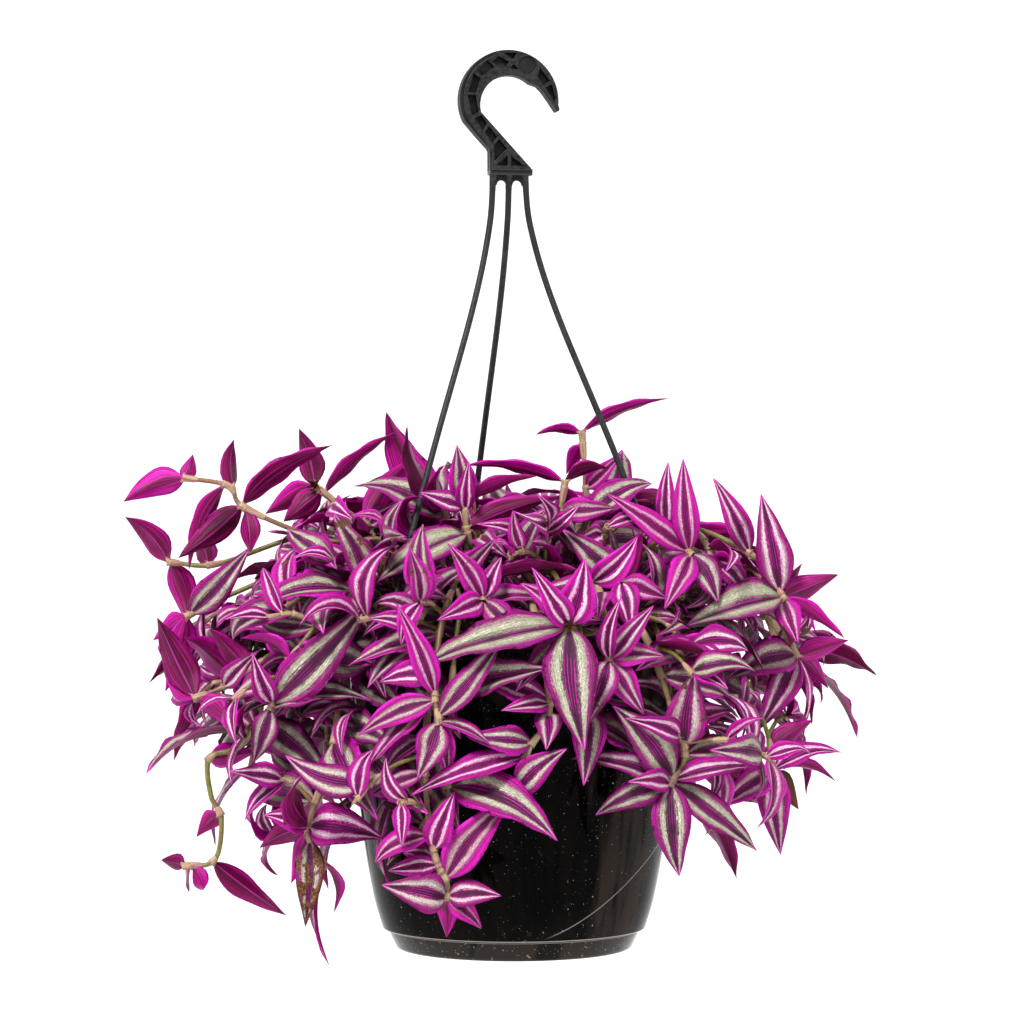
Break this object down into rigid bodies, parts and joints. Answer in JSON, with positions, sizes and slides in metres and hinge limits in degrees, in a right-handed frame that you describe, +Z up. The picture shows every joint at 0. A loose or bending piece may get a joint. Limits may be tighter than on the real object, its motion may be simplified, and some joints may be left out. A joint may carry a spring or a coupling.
{
  "type": "potted tradescantia",
  "caption": "Trailing tradescantia with striped purple leaves in a round plastic pot that hangs from a hook on three arms, with a clip-on drip saucer.",
  "frame": {"origin": "top of the hook's inner curve, where the hook rests on what it hangs from", "axes": "+Z up along the hanging direction, -Y towards the viewer, +X to the viewer's right"},
  "size_m": [0.3821, 0.3422, 0.4481],
  "materials": {
    "hanger": "satin dark grey moulded plastic",
    "pot": "glossy black plastic",
    "saucer": "smoky clear glossy plastic",
    "soil": "crumbly dark brown potting soil",
    "foliage": "satin leaves, purple and silver striped above, wine red below"
  },
  "bodies": {
    "root": {"hanger": "hanger", "pot": "pot", "saucer": "saucer", "soil": "soil", "stem_front_centre": "foliage", "stem_right_star": "foliage", "stem_front_low_left": "foliage", "stem_left_star": "foliage", "stem_front_mid": "foliage", "stem_front_low": "foliage", "stem_centre_left": "foliage", "stem_left_hang": "foliage", "stem_right_edge": "foliage", "stem_right_high": "foliage", "stem_centre_right": "foliage", "stem_right_mid": "foliage", "stem_right_low": "foliage", "stem_left_low": "foliage", "stem_left_back": "foliage", "stem_left_mid": "foliage", "stem_left_high": "foliage", "stem_left_upper": "foliage", "stem_top_left": "foliage", "stem_top_mid": "foliage", "stem_top_tall": "foliage", "stem_top_centre": "foliage", "stem_top_right": "foliage", "stem_front_left_1": "foliage", "stem_front_left_2": "foliage", "stem_front_left_3": "foliage", "stem_front_left_4": "foliage", "stem_front_right_1": "foliage", "stem_front_right_2": "foliage", "stem_front_right_3": "foliage", "stem_side_left_1": "foliage", "stem_side_left_2": "foliage", "stem_side_left_3": "foliage", "stem_side_right_1": "foliage", "stem_side_right_2": "foliage", "stem_low_1": "foliage", "stem_low_2": "foliage", "stem_low_3": "foliage", "stem_low_4": "foliage", "stem_low_5": "foliage", "stem_mid_1": "foliage", "stem_mid_2": "foliage", "stem_mid_3": "foliage", "stem_mid_4": "foliage", "stem_mid_5": "foliage", "stem_high_1": "foliage", "stem_high_2": "foliage", "stem_high_3": "foliage", "stem_high_4": "foliage", "stem_crown_1": "foliage", "stem_crown_2": "foliage", "stem_crown_3": "foliage", "stem_crown_4": "foliage", "stem_crown_5": "foliage"}
  },
  "joints": []
}
